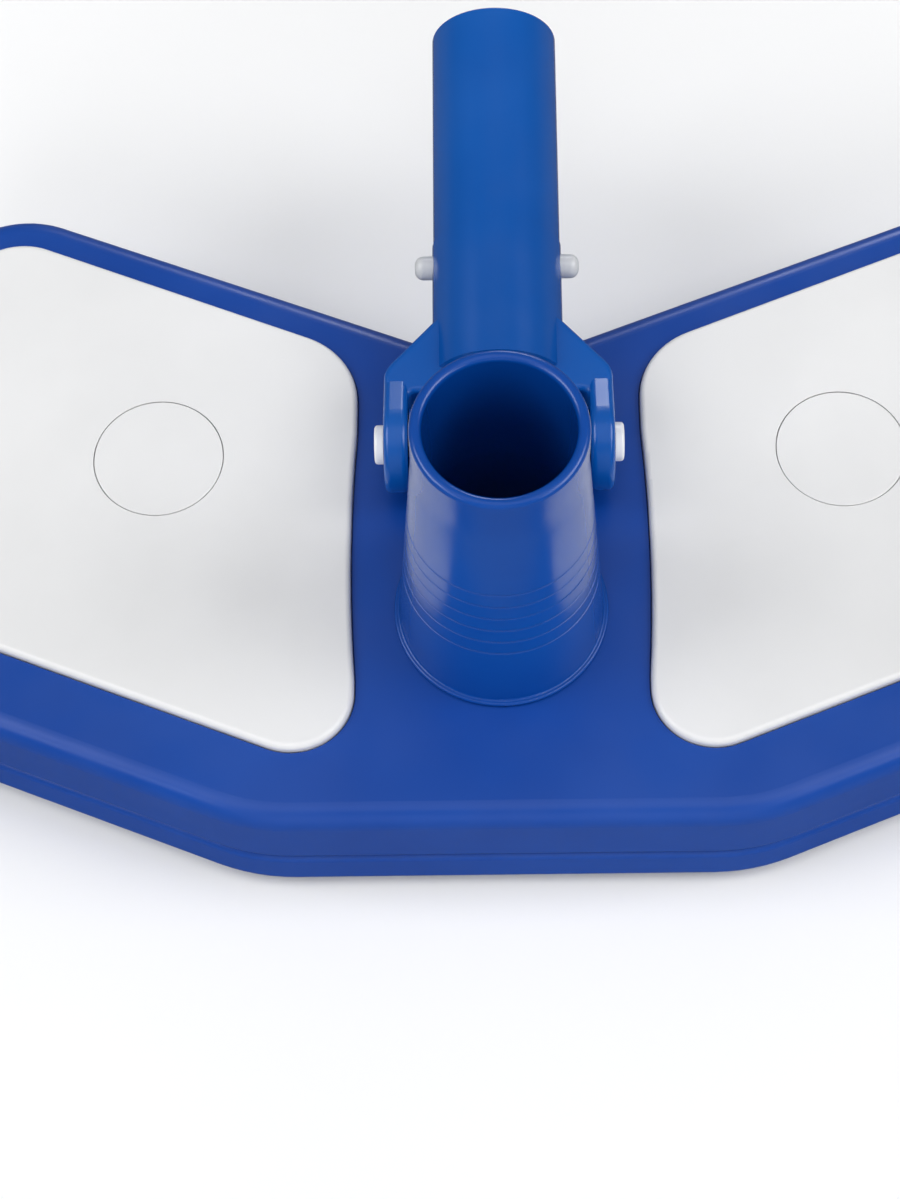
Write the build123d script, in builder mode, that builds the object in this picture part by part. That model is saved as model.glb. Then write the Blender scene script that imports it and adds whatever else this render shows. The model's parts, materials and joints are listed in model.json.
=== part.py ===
"""Weighted pool vacuum head: swept wings, a turning hose socket and a tilting pole handle.

Units are millimetres. X runs across the wings, Y runs back towards the handle and Z is up.
The floor is Z = 0, where the bristle tips stand. Plan positions are measured from the hub,
which is the upright axis of the hose socket.
"""

import os
from math import atan, cos, degrees, radians, sin

from build123d import *

os.makedirs("parts", exist_ok=True)

# ---------------------------------------------------------------- plan of the head
hub_y = -47.0  # the hub sits this far forward of the middle of the whole part
half_span = 145.7  # hub to wing tip, at the lower edge of the base frame
front_y = -54.8  # straight front edge
front_half = 59.0  # half length of the straight front edge
back_y = 69.3  # point of the V in the back edge
sweep = 0.40  # rise of the swept edges for each millimetre outwards
front_corner_r = 50.0
tip_front_r = 27.0
tip_back_r = 26.2
back_v_r = 30.0

# ---------------------------------------------------------------- heights
frame_bottom = 5.0
frame_top = 15.4
seam_top = 16.0  # shadow line between the frame and the shell
top_z = 37.0
wall = 3.0
seam_inset = 1.2  # the shell starts this far inside the lower edge of the base frame
wall_draft = 1.0  # degrees
top_edge_r = 5.2
skirt_edge_r = 1.2
frame_taper = 5.0  # degrees
frame_top_edge_r = 2.2
frame_bottom_edge_r = 1.0

# ---------------------------------------------------------------- weight covers
cover_inner_x = 34.5
cover_outer_x = 135.7
cover_front_y = -42.6  # front inner corner before rounding
cover_back_y = 69.9  # back inner corner before rounding
cover_back_sweep = 0.41  # a touch steeper than the edge of the head
cover_bow = 1.2  # the inner edge bows round the socket
cover_bow_front = -18.0
cover_bow_back = 48.0
cover_front_inner_r = 14.5
cover_back_inner_r = 20.0
cover_front_outer_r = 20.0
cover_back_outer_r = 16.2
cover_edge_r = 1.4
cover_seat = 2.0
cover_proud = 2.2
cover_gap = 0.35
disc_x = 82.5
disc_y = 41.0
disc_r = 15.6
disc_depth = 1.6
disc_gap = 0.25
disc_edge_r = 0.15
deck_z = 24.0  # underside of the wings, under the weight pockets
pocket_floor = 26.5
pocket_clear = 1.0  # pockets are cut this far past the top
pocket_inset = 4.5
weight_t = 8.2
weight_gap = 0.4
weight_edge_r = 1.0

# ---------------------------------------------------------------- hose socket
rim_z = 123.7
rim_edge_r = 1.2
bore_r = 16.3  # takes the outside of a 32 mm hose cuff
bore_end_z = 84.0
rim_r = 19.0  # takes the inside of a 38 mm hose cuff
land_z = 110.5  # the cone ends here and the top of the socket is straight
land_blend_r = 80.0
cone_r = 24.0  # the cone's foot, on the flange
foot_r = 25.2
foot_z = 37.3
foot_t = 1.2
foot_edge_r = 0.5
neck_r = 21.0
neck_bore_r = 18.3
neck_bottom = 27.6
neck_hole_r = 21.4
collar_r = 25.0
collar_drop = 3.0
collar_merge = 1.0  # the collar runs this far into the top
washer_r = 24.4
washer_bore_r = 22.0
washer_t = 0.5
washer_seat = 0.6
washer_gap = 0.2
swivel_ring_r = 25.0
swivel_ring_t = 3.0
swivel_ring_gap = 0.05
swivel_ring_edge_r = 0.5
spanner_notches = 8
spanner_notch_depth = 3.0  # length across the rim of the ring, half of it outside
spanner_notch_w = 4.0
groove_count = 6
groove_pitch = 5.15
first_groove_z = 60.5
groove_bite_r = 0.42
groove_out = 0.14  # the cutting circle stands this far out of the cone

# ---------------------------------------------------------------- handle
pivot_y = 36.8
pivot_z = 51.5
rest_tilt = 5.0  # degrees above level when the handle lies back
tube_r = 15.4  # spigot for the pole
tube_root_r = 15.65  # a hair larger from the fork to just past the snap buttons
tube_bore_r = 12.8
tube_end = 111.0  # pivot to the open end
tube_floor = 38.0  # pivot to the bottom of the bore
tube_mouth_r = 0.7
yoke_half = 27.1  # outside of the ears
ear_inner = 21.4
ear_r = 11.5
ear_edge_r = 1.5
ear_end = 14.2  # pivot to where the ear has thinned down into the fork
ear_end_half_t = 6.6
fork_half_t = 7.0
fork_edge_r = 1.4
fork_corner_r = 6.0
notch_corner_r = 2.0
bridge_start = 10.6
shoulder_start = 16.6
shoulder_end = 30.2
shoulder_top_x = 14.4
root_end = 17.0
spigot_start = 52.0
button_at = 46.9  # pivot to the button axis
button_r = 2.9
button_reach = 4.5
button_edge_r = 2.1
button_start = 10.4  # axis of the tube to the back of the button
button_flange_r = 4.4
button_flange_t = 1.2
pin_r = 3.0
pin_head_r = 4.65
pin_head_t = 2.1
pin_head_edge_r = 0.8
pin_head_gap = 0.3
pin_start = 13.5
lug_inner = 13.0
lug_outer = 21.1
lug_r = 8.5
lug_spread = 1.5
lug_root = 1.0  # depth of the lugs' feet in the top of the shell
running_gap = 0.08  # round the hinge pins and the snap buttons
cut_half = 30.0  # half length of the cross holes

# The clip spring: half its spread at the buttons, at its tips and at its bend.
spring_half = 9.6
spring_tip_half = 9.0
spring_bend_half = 2.4
spring_tip = 41.5
spring_flat_start = 44.5
spring_flat_end = 49.5
spring_bend = 91.0
spring_end = 93.2
spring_t = 1.0
spring_half_w = 4.5

# ---------------------------------------------------------------- underside
ring_width = 26.0
bar_inner = 36.0
bar_outer = 50.0
groove_w = 8.3
groove_top = 12.0
strip_w = 8.0
bristle_w = 5.0
bristle_top = 8.0
strip_inset = 11.0
throat_half = 33.5  # half width of the suction throat inside the shell
screw_spots = [(43.0, -20.0), (43.0, 50.0), (125.1, 25.0), (125.1, 75.0)]
boss_spots = [(sx * x, y) for x, y in screw_spots for sx in (1, -1)]
boss_r = 4.2
boss_merge = 0.5  # the bosses run this far into the deck
boss_depth = 8.6
screw_r = 1.6
screw_pilot_gap = 0.1
screw_pass_r = 2.3
screw_length = 12.0
screw_head_r = 3.5
screw_head_t = 2.6
screw_head_edge_r = 1.0
screw_sink = 2.4  # the heads sit this deep in their counterbores
counterbore_r = 3.9
counterbore_depth = 5.0
cross_length = 3.6
cross_width = 0.8
cross_depth = 1.5
window_corner_r = 4.0
tongue_gap = 0.4
tongue_w = 2.5
tongue_h = 3.1
tongue_merge = 0.5  # the tongue starts this far inside the frame
strip_gap = 0.3  # at each end of a strip's groove
strip_lift = 0.2  # strips sit this far up in their grooves
strip_wall = 1.0  # at each end of a strip's slot
front_strip_length = 96.0
wing_strip_length = 64.0
wing_strip_x = 94.0
end_strip_length = 84.0
end_strip_y = 44.6
rear_strip_length = 102.0
rear_strip_x = 64.5
far = 300.0  # longer than any part of the head


def level(z):
    """Horizontal workplane at height z, centred on the hub."""
    return Plane(origin=(0, hub_y, z), x_dir=(1, 0, 0), z_dir=(0, 0, 1))


def plan_outline(inset):
    """Outline of the whole head, drawn `inset` inside the lower edge of the base frame."""
    tip_front_y = front_y + sweep * (half_span - front_half)
    tip_back_y = back_y + sweep * half_span
    with BuildSketch() as plan:
        with BuildLine():
            Polyline(
                (front_half, front_y),
                (half_span, tip_front_y),
                (half_span, tip_back_y),
                (0, back_y),
                (-half_span, tip_back_y),
                (-half_span, tip_front_y),
                (-front_half, front_y),
                close=True,
            )
        make_face()
        corners = vertices()
        fillet(corners.filter_by(lambda v: abs(abs(v.X) - front_half) < 0.1), front_corner_r)
        corners = vertices()
        fillet(corners.filter_by(lambda v: abs(v.X) < 0.1 and v.Y > 0), back_v_r)
        corners = vertices()
        fillet(corners.filter_by(lambda v: abs(v.Y - tip_front_y) < 0.1), tip_front_r)
        corners = vertices()
        fillet(corners.filter_by(lambda v: abs(v.Y - tip_back_y) < 0.1), tip_back_r)
        if inset > 0:
            offset(amount=-inset)
    return plan.sketch


def cover_outline(grow):
    """Outline of the right weight cover, grown outwards by `grow` all round."""
    width = cover_outer_x - cover_inner_x
    tip_front_y = cover_front_y + sweep * width
    tip_back_y = cover_back_y + cover_back_sweep * width
    with BuildSketch() as plan:
        with BuildLine():
            Polyline(
                (cover_inner_x, cover_bow_front),
                (cover_inner_x, cover_front_y),
                (cover_outer_x, tip_front_y),
                (cover_outer_x, tip_back_y),
                (cover_inner_x, cover_back_y),
                (cover_inner_x, cover_bow_back),
            )
            bow_middle = (cover_inner_x + cover_bow, (cover_bow_front + cover_bow_back) / 2)
            ThreePointArc(
                (cover_inner_x, cover_bow_back), bow_middle, (cover_inner_x, cover_bow_front)
            )
        make_face()
        rounded = (
            (cover_front_y, cover_front_inner_r),
            (cover_back_y, cover_back_inner_r),
            (tip_front_y, cover_front_outer_r),
            (tip_back_y, cover_back_outer_r),
        )
        for corner_y, radius in rounded:
            corner = vertices().filter_by(lambda v: abs(v.Y - corner_y) < 0.1)
            fillet(corner, radius)
        if grow != 0:
            offset(amount=grow)
    return plan.sketch


def save(piece, name):
    """Label one sub-part and write it out."""
    piece.part.label = name
    export_step(piece.part, f"parts/{name}.step")


# The tilt of the handle sets two planes through the pivot: one square to the tube and
# one that holds the tube's axis and the hinge axis.
pivot = Vector(0, hub_y + pivot_y, pivot_z)
along = Vector(0, cos(radians(rest_tilt)), sin(radians(rest_tilt)))
above = Vector(0, -sin(radians(rest_tilt)), cos(radians(rest_tilt)))
yoke_plane = Plane(origin=pivot, x_dir=(1, 0, 0), z_dir=above)


def tube_plane(distance):
    """Workplane square to the handle tube, this far from the pivot."""
    return Plane(origin=pivot + along * distance, x_dir=(1, 0, 0), z_dir=along)


def side_plane(x):
    """Workplane that faces outwards along X, with the hub at its left and Z upwards."""
    return Plane(origin=(x, hub_y, 0), x_dir=(0, 1, 0), z_dir=(1, 0, 0))


# Each brush strip: name, middle in plan, length and angle. They follow the edges of the
# frame at one distance in from its lower edge.
swept = degrees(atan(sweep))
slant = strip_inset / cos(radians(swept))
wing_strip_y = front_y + sweep * (wing_strip_x - front_half) + slant
rear_strip_y = back_y + sweep * rear_strip_x - slant
strips = [("front", 0.0, front_y + strip_inset, front_strip_length, 0.0)]
for side, sx in (("right", 1), ("left", -1)):
    end_strip_x = half_span - strip_inset
    strips += [
        (f"{side}_front", sx * wing_strip_x, wing_strip_y, wing_strip_length, sx * swept),
        (f"{side}_end", sx * end_strip_x, end_strip_y, end_strip_length, 90.0),
        (f"{side}_rear", sx * rear_strip_x, rear_strip_y, rear_strip_length, sx * swept),
    ]

# ---------------------------------------------------------------- body shell
with BuildPart() as body_shell:
    # The wall has a little draft and rounds over into the flat top.
    with BuildSketch(level(seam_top)):
        add(plan_outline(seam_inset))
    extrude(amount=top_z - seam_top, taper=wall_draft)
    fillet(faces().sort_by(Axis.Z)[-1].edges(), top_edge_r)
    fillet(faces().sort_by(Axis.Z)[0].edges(), skirt_edge_r)

    # Hollow underneath: low in the wings, full height in the suction throat.
    with BuildSketch(level(seam_top)):
        add(plan_outline(seam_inset + wall))
    extrude(amount=deck_z - seam_top, mode=Mode.SUBTRACT)
    with BuildSketch(level(seam_top)):
        add(plan_outline(seam_inset + wall))
        Rectangle(2 * throat_half, far, mode=Mode.INTERSECT)
    extrude(amount=top_z - wall - seam_top, mode=Mode.SUBTRACT)

    # A pocket under each cover holds the weight. Its rim is the seat for the cover.
    pocket = cover_outline(-pocket_inset)
    seat = cover_outline(cover_gap)
    for outline, floor_z in ((pocket, pocket_floor), (seat, top_z - cover_seat)):
        with BuildSketch(level(floor_z)):
            add(outline)
            mirror(outline, about=Plane.YZ)
        extrude(amount=top_z + pocket_clear - floor_z, mode=Mode.SUBTRACT)

    # Screw bosses reach down from the deck to the base frame.
    with BuildSketch(level(frame_top)):
        with Locations(*boss_spots):
            Circle(boss_r)
    extrude(amount=deck_z + boss_merge - frame_top)
    with BuildSketch(level(frame_top)):
        with Locations(*boss_spots):
            Circle(screw_r + screw_pilot_gap)
    extrude(amount=boss_depth, mode=Mode.SUBTRACT)

    # Collar and hole for the neck of the hose socket, with a seat for the washer.
    collar_z = top_z - wall - collar_drop
    with BuildSketch(level(collar_z)):
        Circle(collar_r)
    extrude(amount=collar_drop + collar_merge)
    with BuildSketch(level(collar_z)):
        Circle(neck_hole_r)
    extrude(amount=top_z - collar_z, mode=Mode.SUBTRACT)
    with BuildSketch(level(top_z - washer_seat)):
        Circle(washer_r + washer_gap)
    extrude(amount=washer_seat, mode=Mode.SUBTRACT)

    # Two hinge lugs stand between the ears of the handle yoke.
    for x in (lug_inner, -lug_outer):
        with BuildSketch(side_plane(x)):
            with BuildLine():
                Polyline(
                    (pivot_y - lug_r - lug_spread, top_z - lug_root),
                    (pivot_y + lug_r + lug_spread, top_z - lug_root),
                    (pivot_y + lug_r, pivot_z),
                    (pivot_y - lug_r, pivot_z),
                    close=True,
                )
            make_face()
            with Locations((pivot_y, pivot_z)):
                Circle(lug_r)
        extrude(amount=lug_outer - lug_inner)
    with BuildSketch(side_plane(-cut_half)):
        with Locations((pivot_y, pivot_z)):
            Circle(pin_r)
    extrude(amount=2 * cut_half, mode=Mode.SUBTRACT)
save(body_shell, "body_shell")

# ---------------------------------------------------------------- base frame
with BuildPart() as base_frame:
    with BuildSketch(level(frame_bottom)):
        add(plan_outline(0))
    extrude(amount=frame_top - frame_bottom, taper=frame_taper)
    fillet(faces().sort_by(Axis.Z)[-1].edges(), frame_top_edge_r)
    fillet(faces().sort_by(Axis.Z)[0].edges(), frame_bottom_edge_r)
    # A low tongue fits inside the skirt of the shell.
    tongue_inset = seam_inset + wall + tongue_gap
    with BuildSketch(level(frame_top - tongue_merge)):
        add(plan_outline(tongue_inset))
        add(plan_outline(tongue_inset + tongue_w), mode=Mode.SUBTRACT)
    extrude(amount=tongue_h + tongue_merge)
    # Three windows, parted by two cross bars: the suction throat and one in each wing.
    with BuildSketch(level(frame_bottom)):
        add(plan_outline(ring_width))
        bar_x = (bar_inner + bar_outer) / 2
        with Locations((bar_x, 0), (-bar_x, 0)):
            Rectangle(bar_outer - bar_inner, far, mode=Mode.SUBTRACT)
        half_bar = (bar_outer - bar_inner) / 2
        corners = vertices()
        bar_ends = corners.filter_by(lambda v: abs(abs(abs(v.X) - bar_x) - half_bar) < 0.1)
        fillet(bar_ends, window_corner_r)
    extrude(amount=far, mode=Mode.SUBTRACT)
    # Grooves for the brush strips.
    for name, x, y, length, angle in strips:
        with BuildSketch(level(frame_bottom)):
            with Locations(Location((x, y, 0), (0, 0, angle))):
                Rectangle(length + 2 * strip_gap, groove_w)
        extrude(amount=groove_top - frame_bottom, mode=Mode.SUBTRACT)
    # Counterbored screw holes.
    with BuildSketch(level(frame_bottom)):
        with Locations(*boss_spots):
            Circle(screw_pass_r)
    extrude(amount=far, mode=Mode.SUBTRACT)
    with BuildSketch(level(frame_bottom)):
        with Locations(*boss_spots):
            Circle(counterbore_r)
    extrude(amount=counterbore_depth, mode=Mode.SUBTRACT)
save(base_frame, "base_frame")

# ---------------------------------------------------------------- weight covers
with BuildPart() as right_weight_cover:
    with BuildSketch(level(top_z - cover_seat)):
        add(cover_outline(0))
    extrude(amount=cover_seat + cover_proud)
    fillet(faces().sort_by(Axis.Z)[-1].edges(), cover_edge_r)
    with BuildSketch(level(top_z + cover_proud - disc_depth)):
        with Locations((disc_x, disc_y)):
            Circle(disc_r + disc_gap)
    extrude(amount=disc_depth, mode=Mode.SUBTRACT)
save(right_weight_cover, "right_weight_cover")

with BuildPart() as left_weight_cover:
    mirror(right_weight_cover.part, about=Plane.YZ)
save(left_weight_cover, "left_weight_cover")

with BuildPart() as right_cover_disc:
    with BuildSketch(level(top_z + cover_proud - disc_depth)):
        with Locations((disc_x, disc_y)):
            Circle(disc_r)
    extrude(amount=disc_depth)
    fillet(faces().sort_by(Axis.Z)[-1].edges(), disc_edge_r)
save(right_cover_disc, "right_cover_disc")

with BuildPart() as left_cover_disc:
    mirror(right_cover_disc.part, about=Plane.YZ)
save(left_cover_disc, "left_cover_disc")

# ---------------------------------------------------------------- weights
with BuildPart() as right_weight:
    with BuildSketch(level(pocket_floor)):
        add(cover_outline(-pocket_inset - weight_gap))
    extrude(amount=weight_t)
    fillet(faces().sort_by(Axis.Z)[-1].edges(), weight_edge_r)
save(right_weight, "right_weight")

with BuildPart() as left_weight:
    mirror(right_weight.part, about=Plane.YZ)
save(left_weight, "left_weight")

# ---------------------------------------------------------------- hose socket
with BuildPart() as hose_socket:
    socket_half = Plane(origin=(0, hub_y, 0), x_dir=(1, 0, 0), z_dir=(0, -1, 0))
    with BuildSketch(socket_half):
        with BuildLine():
            Polyline(
                (neck_r, neck_bottom),
                (neck_r, foot_z),
                (foot_r, foot_z),
                (foot_r, foot_z + foot_t),
                (cone_r, foot_z + foot_t),
                (rim_r, land_z),
                (rim_r, rim_z),
                (bore_r, rim_z),
                (bore_r, bore_end_z),
                (neck_bore_r, neck_bottom),
                close=True,
            )
        make_face()
        corners = vertices()
        fillet(corners.filter_by(lambda v: abs(v.X - foot_r) < 0.01), foot_edge_r)
        corners = vertices()
        fillet(corners.filter_by(lambda v: abs(v.X - cone_r) < 0.01), foot_edge_r)
        corners = vertices()
        fillet(corners.filter_by(lambda v: abs(v.Y - land_z) < 0.01), land_blend_r)
        corners = vertices()
        fillet(corners.filter_by(lambda v: abs(v.Y - rim_z) < 0.01), rim_edge_r)
    revolve(axis=Axis((0, hub_y, 0), (0, 0, 1)))
    # Fine rings round the lower half, where a hose cuff is pushed on.
    cone_slope = (cone_r - rim_r) / (land_z - foot_z - foot_t)
    with BuildSketch(socket_half):
        for i in range(groove_count):
            groove_z = first_groove_z + groove_pitch * i
            cone_here = rim_r + cone_slope * (land_z - groove_z)
            with Locations((cone_here + groove_out, groove_z)):
                Circle(groove_bite_r)
    revolve(axis=Axis((0, hub_y, 0), (0, 0, 1)), mode=Mode.SUBTRACT)
save(hose_socket, "hose_socket")

with BuildPart() as swivel_washer:
    with BuildSketch(level(top_z - washer_seat)):
        Circle(washer_r)
        Circle(washer_bore_r, mode=Mode.SUBTRACT)
    extrude(amount=washer_t)
save(swivel_washer, "swivel_washer")

with BuildPart() as swivel_ring:
    with BuildSketch(level(neck_bottom)):
        Circle(swivel_ring_r)
        Circle(neck_r + swivel_ring_gap, mode=Mode.SUBTRACT)
    extrude(amount=swivel_ring_t)
    fillet(edges().filter_by(GeomType.CIRCLE).sort_by(SortBy.RADIUS)[-2:], swivel_ring_edge_r)
    # Notches for a ring spanner.
    with BuildSketch(level(neck_bottom)):
        with PolarLocations(swivel_ring_r, spanner_notches):
            Rectangle(spanner_notch_depth, spanner_notch_w)
    extrude(amount=swivel_ring_t, mode=Mode.SUBTRACT)
save(swivel_ring, "swivel_ring")

# ---------------------------------------------------------------- handle
# A round ear stands at the end of each arm of the fork, and thins down into the arm.
with BuildPart() as right_ear:
    ear_plane = Plane(origin=pivot + Vector(ear_inner, 0, 0), x_dir=along, z_dir=(1, 0, 0))
    with BuildSketch(ear_plane):
        Circle(ear_r)
        with Locations((ear_end / 2, 0)):
            Rectangle(ear_end, 2 * ear_end_half_t)
        make_hull()
    extrude(amount=yoke_half - ear_inner)
    for face in (faces().sort_by(Axis.X)[-1], faces().sort_by(Axis.X)[0]):
        fillet(face.edges(), ear_edge_r)

with BuildPart() as handle_yoke:
    # Flat fork: two arms, a bridge and sloping shoulders.
    with BuildSketch(yoke_plane):
        with BuildLine():
            Polyline(
                (yoke_half, 0),
                (yoke_half, shoulder_start),
                (shoulder_top_x, shoulder_end),
                (-shoulder_top_x, shoulder_end),
                (-yoke_half, shoulder_start),
                (-yoke_half, 0),
                (-ear_inner, 0),
                (-ear_inner, bridge_start),
                (ear_inner, bridge_start),
                (ear_inner, 0),
                close=True,
            )
        make_face()
        corners = vertices()
        fillet(corners.filter_by(lambda v: abs(v.Y - shoulder_start) < 0.1), fork_corner_r)
        corners = vertices()
        fillet(corners.filter_by(lambda v: abs(v.Y - bridge_start) < 0.1), notch_corner_r)
    extrude(amount=fork_half_t, both=True)
    for face in (faces().sort_by(Axis(pivot, above))[-1], faces().sort_by(Axis(pivot, above))[0]):
        fillet(face.edges(), fork_edge_r)
    # The tube runs into the fork and rounds off on its faces.
    with BuildSketch(tube_plane(bridge_start + fork_edge_r)):
        Circle(fork_half_t)
    with BuildSketch(tube_plane(root_end)):
        Circle(tube_root_r)
    loft()
    with BuildSketch(tube_plane(root_end)):
        Circle(tube_root_r)
    extrude(amount=spigot_start - root_end)
    with BuildSketch(tube_plane(spigot_start)):
        Circle(tube_r)
    extrude(amount=tube_end - spigot_start)
    with BuildSketch(tube_plane(tube_floor)):
        Circle(tube_bore_r)
    extrude(amount=tube_end - tube_floor, mode=Mode.SUBTRACT)
    mouth = edges().filter_by(GeomType.CIRCLE).sort_by(Axis(pivot, along))[-2:]
    fillet(mouth, tube_mouth_r)
    add(right_ear.part)
    mirror(right_ear.part, about=Plane.YZ)
    # Holes for the hinge pins and for the snap buttons.
    with BuildSketch(side_plane(-cut_half)):
        with Locations((pivot_y, pivot_z)):
            Circle(pin_r + running_gap)
    extrude(amount=2 * cut_half, mode=Mode.SUBTRACT)
    button_spot = pivot + along * button_at
    with BuildSketch(side_plane(-cut_half)):
        with Locations((button_spot.Y - hub_y, button_spot.Z)):
            Circle(button_r + running_gap)
    extrude(amount=2 * cut_half, mode=Mode.SUBTRACT)
save(handle_yoke, "handle_yoke")

with BuildPart() as clip_spring:
    with BuildSketch(yoke_plane):
        with BuildLine():
            for side in (-1, 1):
                Polyline(
                    (side * spring_tip_half, spring_tip),
                    (side * spring_half, spring_flat_start),
                    (side * spring_half, spring_flat_end),
                    (side * spring_bend_half, spring_bend),
                )
            ThreePointArc(
                (-spring_bend_half, spring_bend), (0, spring_end), (spring_bend_half, spring_bend)
            )
        trace(line_width=spring_t)
    extrude(amount=spring_half_w, both=True)
save(clip_spring, "clip_spring")

with BuildPart() as right_button:
    stem_plane = Plane(
        origin=button_spot + Vector(button_start, 0, 0), x_dir=(0, 1, 0), z_dir=(1, 0, 0)
    )
    with BuildSketch(stem_plane):
        Circle(button_r)
    extrude(amount=tube_r + button_reach - button_start)
    fillet(faces().sort_by(Axis.X)[-1].edges(), button_edge_r)
    with BuildSketch(stem_plane):
        Circle(button_flange_r)
    extrude(amount=button_flange_t)
save(right_button, "right_button")

with BuildPart() as left_button:
    mirror(right_button.part, about=Plane.YZ)
save(left_button, "left_button")

# ---------------------------------------------------------------- hinge pins
with BuildPart() as right_pivot_pin:
    pin_head_x = yoke_half + pin_head_gap
    with BuildSketch(side_plane(pin_start)):
        with Locations((pivot_y, pivot_z)):
            Circle(pin_r)
    extrude(amount=pin_head_x - pin_start)
    with BuildSketch(side_plane(pin_head_x)):
        with Locations((pivot_y, pivot_z)):
            Circle(pin_head_r)
    extrude(amount=pin_head_t)
    fillet(faces().sort_by(Axis.X)[-1].edges(), pin_head_edge_r)
save(right_pivot_pin, "right_pivot_pin")

with BuildPart() as left_pivot_pin:
    mirror(right_pivot_pin.part, about=Plane.YZ)
save(left_pivot_pin, "left_pivot_pin")

# ---------------------------------------------------------------- brush strips
strip_base = frame_bottom + strip_lift
for name, x, y, length, angle in strips:
    spot = Location((x, y, 0), (0, 0, angle))
    with BuildPart() as strip:
        with BuildSketch(level(strip_base)):
            with Locations(spot):
                Rectangle(length, strip_w)
        extrude(amount=groove_top - strip_base)
        with BuildSketch(level(strip_base)):
            with Locations(spot):
                Rectangle(length - 2 * strip_wall, bristle_w)
        extrude(amount=bristle_top - strip_base, mode=Mode.SUBTRACT)
    save(strip, f"{name}_strip")
    with BuildPart() as bristles:
        with BuildSketch(level(0)):
            with Locations(spot):
                Rectangle(length - 2 * strip_wall, bristle_w)
        extrude(amount=bristle_top)
    save(bristles, f"{name}_bristles")

# ---------------------------------------------------------------- frame screws
with BuildPart() as frame_screws:
    head_z = frame_bottom + screw_sink
    with BuildSketch(level(head_z)):
        with Locations(*boss_spots):
            Circle(screw_head_r)
    extrude(amount=screw_head_t)
    fillet(faces().sort_by(Axis.Z)[: len(boss_spots)].edges(), screw_head_edge_r)
    with BuildSketch(level(head_z + screw_head_t)):
        with Locations(*boss_spots):
            Circle(screw_r)
    extrude(amount=screw_length)
    # Cross recess in each head.
    with BuildSketch(level(head_z)):
        with Locations(*boss_spots):
            Rectangle(cross_length, cross_width)
            Rectangle(cross_width, cross_length)
    extrude(amount=cross_depth, mode=Mode.SUBTRACT)
save(frame_screws, "frame_screws")
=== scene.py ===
"""Looks of the pool vacuum head: materials, brush tufts, clip spring, floor, light and camera."""

import json
import math
import random

import bmesh
import bpy
from mathutils import Matrix, Vector

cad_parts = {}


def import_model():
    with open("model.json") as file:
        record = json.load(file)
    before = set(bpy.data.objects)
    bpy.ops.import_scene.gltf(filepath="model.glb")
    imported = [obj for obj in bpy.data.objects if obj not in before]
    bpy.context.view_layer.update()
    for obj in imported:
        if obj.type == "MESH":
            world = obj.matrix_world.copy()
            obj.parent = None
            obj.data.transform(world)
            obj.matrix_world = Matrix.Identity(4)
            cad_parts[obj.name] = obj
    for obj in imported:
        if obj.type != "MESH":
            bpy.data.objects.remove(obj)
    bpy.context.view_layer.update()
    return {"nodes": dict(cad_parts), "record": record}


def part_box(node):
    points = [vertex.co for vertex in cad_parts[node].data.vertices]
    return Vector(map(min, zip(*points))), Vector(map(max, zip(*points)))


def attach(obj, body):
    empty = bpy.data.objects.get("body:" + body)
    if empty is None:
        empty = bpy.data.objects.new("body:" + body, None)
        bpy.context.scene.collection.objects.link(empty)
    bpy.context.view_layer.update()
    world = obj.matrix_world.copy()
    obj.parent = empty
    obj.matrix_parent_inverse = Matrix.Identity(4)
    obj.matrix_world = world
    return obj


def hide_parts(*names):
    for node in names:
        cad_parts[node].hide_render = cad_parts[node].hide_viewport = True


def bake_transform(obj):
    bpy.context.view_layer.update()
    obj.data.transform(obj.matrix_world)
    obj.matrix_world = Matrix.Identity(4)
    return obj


MM = 0.001
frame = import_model()
nodes = frame["nodes"]
record = frame["record"]
mounts = {mount["name"]: mount for mount in record["mounts"]}
slot_of = {part["node"]: part["material_slot"] for part in record["subparts"]}

# Reference points of the object, from the frame.
hub = Vector(mounts["hose_bore"]["pos_m"]) * Vector((1, 1, 0))


# ---------------------------------------------------------------- materials
# Most of a noise texture's values lie between these two.
NOISE_LOW = 0.3
NOISE_HIGH = 0.7
TINT_LOW = 0.32
TINT_HIGH = 0.68
PLASTIC_IOR = 1.49


def linear(*srgb):
    """Linear colour from sRGB values of 0 to 255."""
    values = [v / 255 for v in srgb]
    return tuple(v / 12.92 if v < 0.04045 else ((v + 0.055) / 1.055) ** 2.4 for v in values) + (1.0,)


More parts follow.
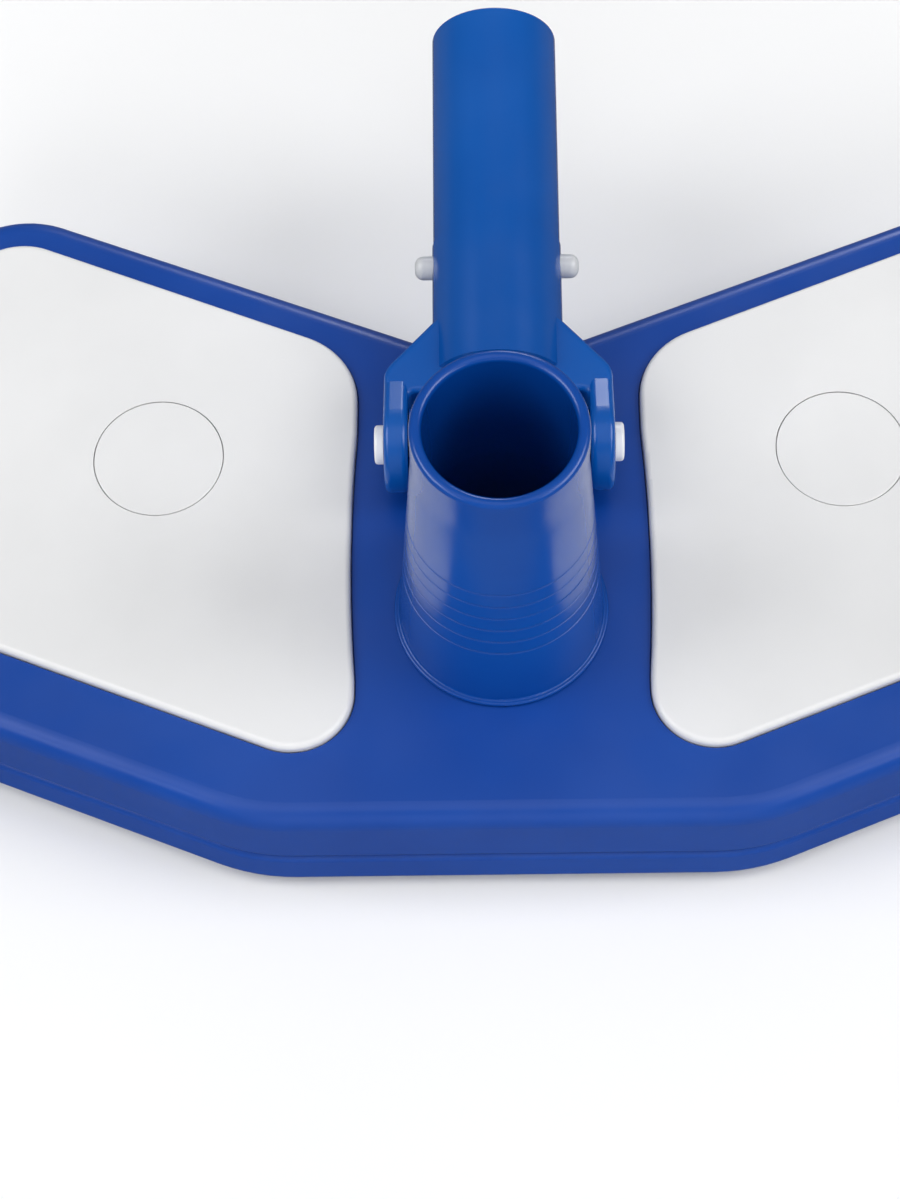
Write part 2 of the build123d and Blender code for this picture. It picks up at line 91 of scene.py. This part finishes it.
class Shader:
    """A material with a Principled BSDF and short helpers for its texture nodes."""

    def __init__(self, name):
        self.material = bpy.data.materials.new(name)
        self.material.use_nodes = True
        self.tree = self.material.node_tree
        self.bsdf = self.tree.nodes["Principled BSDF"]
        self.coords = self.tree.nodes.new("ShaderNodeTexCoord").outputs["Object"]

    def node(self, kind, **settings):
        node = self.tree.nodes.new(kind)
        for key, value in settings.items():
            setattr(node, key, value)
        return node

    def link(self, output, target):
        self.tree.links.new(output, target)

    def noise(self, scale, detail=2.0, stretch=(1, 1, 1)):
        mapping = self.node("ShaderNodeMapping")
        mapping.inputs["Scale"].default_value = stretch
        texture = self.node("ShaderNodeTexNoise")
        texture.inputs["Scale"].default_value = scale
        texture.inputs["Detail"].default_value = detail
        self.link(self.coords, mapping.inputs["Vector"])
        self.link(mapping.outputs["Vector"], texture.inputs["Vector"])
        return texture.outputs["Fac"]

    def spread(self, value, low, high):
        """Map a noise value to the range low to high."""
        ranged = self.node("ShaderNodeMapRange", interpolation_type="SMOOTHSTEP")
        ranged.inputs["From Min"].default_value = NOISE_LOW
        ranged.inputs["From Max"].default_value = NOISE_HIGH
        ranged.inputs["To Min"].default_value = low
        ranged.inputs["To Max"].default_value = high
        self.link(value, ranged.inputs["Value"])
        return ranged.outputs["Result"]

    def tint(self, value, dark, light):
        """Base colour that drifts between two colours with a noise value."""
        ramp = self.node("ShaderNodeValToRGB")
        ramp.color_ramp.interpolation = "EASE"
        low, high = ramp.color_ramp.elements
        low.position = TINT_LOW
        low.color = dark
        high.position = TINT_HIGH
        high.color = light
        self.link(value, ramp.inputs["Fac"])
        self.link(ramp.outputs["Color"], self.bsdf.inputs["Base Color"])

    def bumps(self, *layers):
        """Chain bump layers, each a value, a height in metres and a strength."""
        normal = None
        for value, height, strength in layers:
            bump = self.node("ShaderNodeBump")
            bump.inputs["Distance"].default_value = height
            bump.inputs["Strength"].default_value = strength
            self.link(value, bump.inputs["Height"])
            if normal:
                self.link(normal, bump.inputs["Normal"])
            normal = bump.outputs["Normal"]
        self.link(normal, self.bsdf.inputs["Normal"])


def moulded_plastic(name, dark, light, roughness, grain):
    """Injection moulded plastic: slow colour drift, faint flow waviness and a fine surface grain."""
    shader = Shader(name)
    drift = shader.noise(22, 3)
    fine = shader.noise(2600, 2)
    shader.tint(drift, dark, light)
    low, high = roughness
    shader.link(shader.spread(shader.noise(60, 2), low, high), shader.bsdf.inputs["Roughness"])
    shader.bumps((shader.noise(34, 1), 0.0006, 0.06), (fine, 0.00004, grain))
    shader.bsdf.inputs["IOR"].default_value = PLASTIC_IOR
    return shader.material


def metal(name, dark, light, roughness, stretch):
    """Metal with fine scratches drawn out along one direction."""
    shader = Shader(name)
    shader.tint(shader.noise(40, 3), dark, light)
    scratches = shader.noise(900, 4, stretch)
    low, high = roughness
    shader.link(shader.spread(scratches, low, high), shader.bsdf.inputs["Roughness"])
    shader.bumps((scratches, 0.00003, 0.35))
    shader.bsdf.inputs["Metallic"].default_value = 1.0
    return shader.material


def nylon(name):
    """Bristle nylon: milky, slightly clear filament."""
    shader = Shader(name)
    shader.tint(shader.noise(300, 2), linear(214, 219, 226), linear(236, 239, 243))
    shader.link(shader.spread(shader.noise(900, 2), 0.3, 0.45), shader.bsdf.inputs["Roughness"])
    shader.bsdf.inputs["Subsurface Weight"].default_value = 0.15
    shader.bsdf.inputs["Subsurface Radius"].default_value = (0.002, 0.002, 0.002)
    return shader.material


def iron(name):
    """Painted sand casting."""
    shader = Shader(name)
    shader.tint(shader.noise(120, 5), linear(38, 39, 41), linear(58, 59, 61))
    shader.link(shader.spread(shader.noise(400, 4), 0.5, 0.75), shader.bsdf.inputs["Roughness"])
    shader.bumps((shader.noise(900, 5), 0.0003, 0.5))
    return shader.material


blue_dark = linear(3, 62, 149)
blue_light = linear(7, 67, 156)
socket_dark = linear(3, 66, 151)
socket_light = linear(6, 71, 157)
tube_dark = linear(0, 79, 163)
tube_light = linear(4, 84, 169)
# Roughness ranges stay on one side of 0.27: thin lines showed in renders where a range crossed it.
white_gloss = (0.29, 0.35)
materials = {
    "blue_shell": moulded_plastic("blue_shell", blue_dark, blue_light, (0.29, 0.36), 0.10),
    "blue_frame": moulded_plastic("blue_frame", blue_dark, blue_light, (0.30, 0.38), 0.14),
    "blue_socket": moulded_plastic("blue_socket", socket_dark, socket_light, (0.20, 0.24), 0.06),
    "blue_handle": moulded_plastic("blue_handle", tube_dark, tube_light, (0.21, 0.265), 0.06),
    "white_cover": moulded_plastic(
        "white_cover", linear(224, 224, 224), linear(229, 229, 229), white_gloss, 0.05
    ),
    "white_pin": moulded_plastic(
        "white_pin", linear(236, 237, 240), linear(246, 247, 249), white_gloss, 0.05
    ),
    "grey_button": moulded_plastic(
        "grey_button", linear(205, 207, 210), linear(218, 220, 223), white_gloss, 0.05
    ),
    "washer_plastic": moulded_plastic(
        "washer_plastic", linear(205, 205, 198), linear(216, 216, 208), (0.4, 0.5), 0.10
    ),
    "strip_plastic": moulded_plastic(
        "strip_plastic", linear(214, 216, 219), linear(226, 228, 231), (0.38, 0.5), 0.15
    ),
    "ballast_iron": iron("ballast_iron"),
    "spring_steel": metal(
        "spring_steel", linear(150, 152, 156), linear(176, 178, 182), (0.29, 0.42), (1, 0.05, 0.05)
    ),
    "screw_steel": metal(
        "screw_steel", linear(160, 162, 165), linear(190, 192, 195), (0.29, 0.44), (1, 1, 0.1)
    ),
    "bristle_nylon": nylon("bristle_nylon"),
}


def paint(obj, slot):
    obj.data.materials.clear()
    obj.data.materials.append(materials[slot])


for node_name, node in nodes.items():
    paint(node, slot_of[node_name])


# ---------------------------------------------------------------- brush tufts
TUFT_PITCH = 3.6 * MM
TUFT_ROWS = (-1.25 * MM, 1.25 * MM)
FILAMENTS = 15
FILAMENT_R = 0.17 * MM
TUFT_ROOT_R = 0.95 * MM
TUFT_END_GAP = 1.2 * MM
GOLDEN_ANGLE = 2.39996


def strip_frame(node_name):
    """Middle, direction and half length of a brush block, from its mesh."""
    points = [v.co.copy() for v in nodes[node_name].data.vertices]
    middle = sum(points, Vector()) / len(points)
    flat = [Vector((p.x - middle.x, p.y - middle.y, 0)) for p in points]
    far = max(flat, key=lambda p: p.length)
    near_end = [p for p in flat if p.dot(far) > 0]
    direction = (sum(near_end, Vector()) / len(near_end)).normalized()
    half = max(p.dot(direction) for p in flat)
    width = max(abs(p.dot(Vector((-direction.y, direction.x, 0)))) for p in flat)
    return middle, direction, half, width


def add_filament(points, faces, root, tip, radius):
    """One four-sided bristle with a bend at its middle."""
    start = len(points)
    belly = root.lerp(tip, 0.5) + Vector((tip.x - root.x, tip.y - root.y, 0)) * -0.12
    for centre, r in ((root, radius), (belly, radius), (tip, radius * 0.8)):
        for corner in range(4):
            angle = math.pi * corner / 2
            points.append(centre + Vector((math.cos(angle) * r, math.sin(angle) * r, 0)))
    for level in (0, 4):
        for corner in range(4):
            after = (corner + 1) % 4
            a = start + level
            faces.append((a + corner, a + after, a + after + 4, a + corner + 4))
    faces.append((start + 8, start + 9, start + 10, start + 11))


def brush_tufts(place):
    """Rows of nylon tufts that stand where the CAD brush block stands."""
    block = f"{place}_bristles"
    middle, direction, half, half_width = strip_frame(block)
    low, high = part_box(block)
    across = Vector((-direction.y, direction.x, 0))
    rng = random.Random(place)
    points = []
    faces = []
    count = int((2 * half - 2 * TUFT_END_GAP) / TUFT_PITCH)
    for row, offset in enumerate(TUFT_ROWS):
        for i in range(count):
            along = (i - (count - 1) / 2 + (0.5 if row else 0.0) - 0.25) * TUFT_PITCH
            centre = middle + direction * along + across * offset
            for f in range(FILAMENTS):
                reach = TUFT_ROOT_R * math.sqrt((f + 0.5) / FILAMENTS)
                turn = f * GOLDEN_ANGLE + rng.uniform(-0.2, 0.2)
                out = direction * math.cos(turn) + across * math.sin(turn)
                root = centre + out * reach
                tip = centre + out * reach * rng.uniform(1.25, 1.7)
                tip += direction * rng.uniform(-0.15, 0.15) * MM
                side = (tip - middle).dot(across)
                limit = half_width - FILAMENT_R
                tip -= across * (side - max(-limit, min(limit, side)))
                root.z = high.z
                tip.z = low.z + rng.choice((0.0, 0.0, 0.1, 0.25)) * MM
                add_filament(points, faces, root, tip, FILAMENT_R)
    mesh = bpy.data.meshes.new(f"{place}_tufts")
    mesh.from_pydata(points, [], faces)
    mesh.validate()
    tufts = bpy.data.objects.new(f"{place}_tufts", mesh)
    bpy.context.scene.collection.objects.link(tufts)
    mesh.shade_smooth()
    paint(tufts, "bristle_nylon")
    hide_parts(block)
    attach(tufts, "head")


for node_name in sorted(nodes):
    if node_name.endswith("_bristles"):
        brush_tufts(node_name.removesuffix("_bristles"))


def spring_arm(side):
    """Half of the bent clip spring."""
    outwards = 1 if side == "right" else -1
    steel = bmesh.new()
    steel.from_mesh(nodes["clip_spring"].data)
    every = steel.verts[:] + steel.edges[:] + steel.faces[:]
    bmesh.ops.bisect_plane(
        steel, geom=every, plane_co=(0, 0, 0), plane_no=(outwards, 0, 0), clear_inner=True
    )
    bmesh.ops.holes_fill(steel, edges=[edge for edge in steel.edges if edge.is_boundary])
    mesh = bpy.data.meshes.new(f"{side}_spring_arm")
    steel.to_mesh(mesh)
    steel.free()
    arm = bpy.data.objects.new(f"{side}_spring_arm", mesh)
    bpy.context.scene.collection.objects.link(arm)
    paint(arm, "spring_steel")
    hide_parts("clip_spring")
    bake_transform(arm)


spring_arm("left")
spring_arm("right")


# ---------------------------------------------------------------- floor, light, camera
FLOOR_HALF = 12.0
WALL_R = 10.0
SHEET_GAP = 0.02 * MM
BLACK = (0, 0, 0, 1)
AIM = Vector((0, 0, 0.03))
CAMERA_FROM_HUB = Vector((-0.92, -279.09, 611.17)) * MM
CAMERA_PITCH = math.radians(63.829)
CAMERA_YAW = math.radians(-2.275)
CAMERA_ROLL = math.radians(-2.816)
SENSOR_HEIGHT = 36.0
FOCAL_LENGTH = 81.3


def ground(name, height, dark, light):
    """A wide level sheet of plain paper."""
    mesh = bpy.data.meshes.new(name)
    corners = [(x * FLOOR_HALF, y * FLOOR_HALF) for x, y in ((-1, -1), (1, -1), (1, 1), (-1, 1))]
    mesh.from_pydata([(x, y, height) for x, y in corners], [], [(0, 1, 2, 3)])
    plane = bpy.data.objects.new(name, mesh)
    bpy.context.scene.collection.objects.link(plane)
    shader = Shader(f"{name}_paper")
    shader.tint(shader.noise(3, 2), dark, light)
    shader.bsdf.inputs["Roughness"].default_value = 0.9
    shader.bsdf.inputs["Specular IOR Level"].default_value = 0.1
    plane.data.materials.append(shader.material)
    return plane


def floor():
    """A plain pale floor. A dimmer sheet stands in for it in glossy reflections."""
    seen = ground("floor", 0.0, linear(240, 240, 240), linear(244, 244, 244))
    seen.visible_glossy = False
    # Painted reflection: this grey sheet shows only in glossy reflections, so shiny walls mirror a
    # darker floor than the camera sees.
    mirrored = ground("floor_in_reflections", SHEET_GAP, linear(108, 110, 114), linear(112, 114, 118))
    mirrored.visible_camera = False
    mirrored.visible_diffuse = False
    mirrored.visible_shadow = False
    mirrored.visible_transmission = False


def backdrop():
    """An even pale wall far off all round, seen only by the camera."""
    mesh = bpy.data.meshes.new("backdrop")
    wall = bmesh.new()
    bmesh.ops.create_cone(
        wall, segments=64, radius1=WALL_R, radius2=WALL_R, depth=2 * WALL_R, cap_ends=False
    )
    wall.to_mesh(mesh)
    wall.free()
    ring = bpy.data.objects.new("backdrop", mesh)
    bpy.context.scene.collection.objects.link(ring)
    shader = Shader("backdrop_paper")
    shader.tint(shader.noise(0.3, 2), BLACK, BLACK)
    shader.bsdf.inputs["Specular IOR Level"].default_value = 0.0
    shader.bsdf.inputs["Emission Color"].default_value = linear(252, 252, 252)
    shader.bsdf.inputs["Emission Strength"].default_value = 1.0
    mesh.materials.append(shader.material)
    for kind in ("diffuse", "glossy", "transmission", "shadow"):
        setattr(ring, f"visible_{kind}", False)


def lamp_at(name, light, place):
    """A lamp object that looks at a point just above the middle of the floor."""
    lamp = bpy.data.objects.new(name, light)
    bpy.context.scene.collection.objects.link(lamp)
    lamp.location = place
    lamp.rotation_euler = (AIM - Vector(place)).to_track_quat("-Z", "Y").to_euler()
    return lamp


def fill(name, place, strength, spread):
    """Broad soft light from one side, the same all over the floor. Glossy reflections leave it out."""
    light = bpy.data.lights.new(name, "SUN")
    light.energy = strength
    light.angle = math.radians(spread)
    lamp_at(name, light, place).visible_glossy = False


def soft_box(name, place, size, power):
    """A rectangular light that shows only in glossy reflections."""
    light = bpy.data.lights.new(name, "AREA")
    light.shape = "RECTANGLE"
    light.size, light.size_y = size
    light.energy = power
    lamp_at(name, light, place).visible_diffuse = False


def world(strength):
    """An even, faintly cool studio surround."""
    surround = bpy.data.worlds.new("studio")
    surround.use_nodes = True
    background = surround.node_tree.nodes["Background"]
    background.inputs["Color"].default_value = (0.93, 0.96, 1.0, 1.0)
    background.inputs["Strength"].default_value = strength
    bpy.context.scene.world = surround


def camera():
    """The camera looks steeply down from in front of the head."""
    place = hub + CAMERA_FROM_HUB
    pitch, yaw, roll = CAMERA_PITCH, CAMERA_YAW, CAMERA_ROLL
    forward = Vector(
        (math.sin(yaw) * math.cos(pitch), math.cos(yaw) * math.cos(pitch), -math.sin(pitch))
    )
    level_right = Vector((math.cos(yaw), -math.sin(yaw), 0))
    level_up = level_right.cross(forward)
    right = level_right * math.cos(roll) + level_up * math.sin(roll)
    up = level_up * math.cos(roll) - level_right * math.sin(roll)
    lens = bpy.data.cameras.new("camera")
    lens.sensor_fit = "VERTICAL"
    lens.sensor_height = SENSOR_HEIGHT
    lens.lens = FOCAL_LENGTH
    lens.clip_start = 0.01
    view = bpy.data.objects.new("camera", lens)
    bpy.context.scene.collection.objects.link(view)
    turn = Matrix((right, up, -forward)).transposed()
    view.matrix_world = Matrix.Translation(place) @ turn.to_4x4()
    bpy.context.scene.camera = view


floor()
backdrop()
world(0.14)
fill("top_fill", (0.0, -0.2, 1.3), 0.95, 60)
fill("left_fill", (-0.95, -0.05, 0.95), 1.06, 34)
fill("right_fill", (0.95, -0.05, 0.95), 1.18, 34)
fill("front_fill", (0.0, -2.2, 0.8), 1.24, 45)
fill("back_fill", (0.0, 1.0, 1.2), 0.30, 60)
soft_box("top_box", (0.0, -0.2, 1.3), (1.7, 1.1), 2.6)
soft_box("left_box", (-0.95, -0.05, 0.95), (0.8, 0.6), 6.4)
soft_box("right_box", (0.95, -0.05, 0.95), (0.8, 0.6), 7.0)
soft_box("left_glint", (-0.85, -0.7, 0.8), (0.5, 0.3), 1.2)
soft_box("right_glint", (0.85, -0.7, 0.8), (0.5, 0.3), 1.2)
soft_box("back_strip", (0.12, 1.0, 0.5), (0.3, 0.3), 1.8)
camera()
bpy.context.scene.view_settings.view_transform = "Standard"
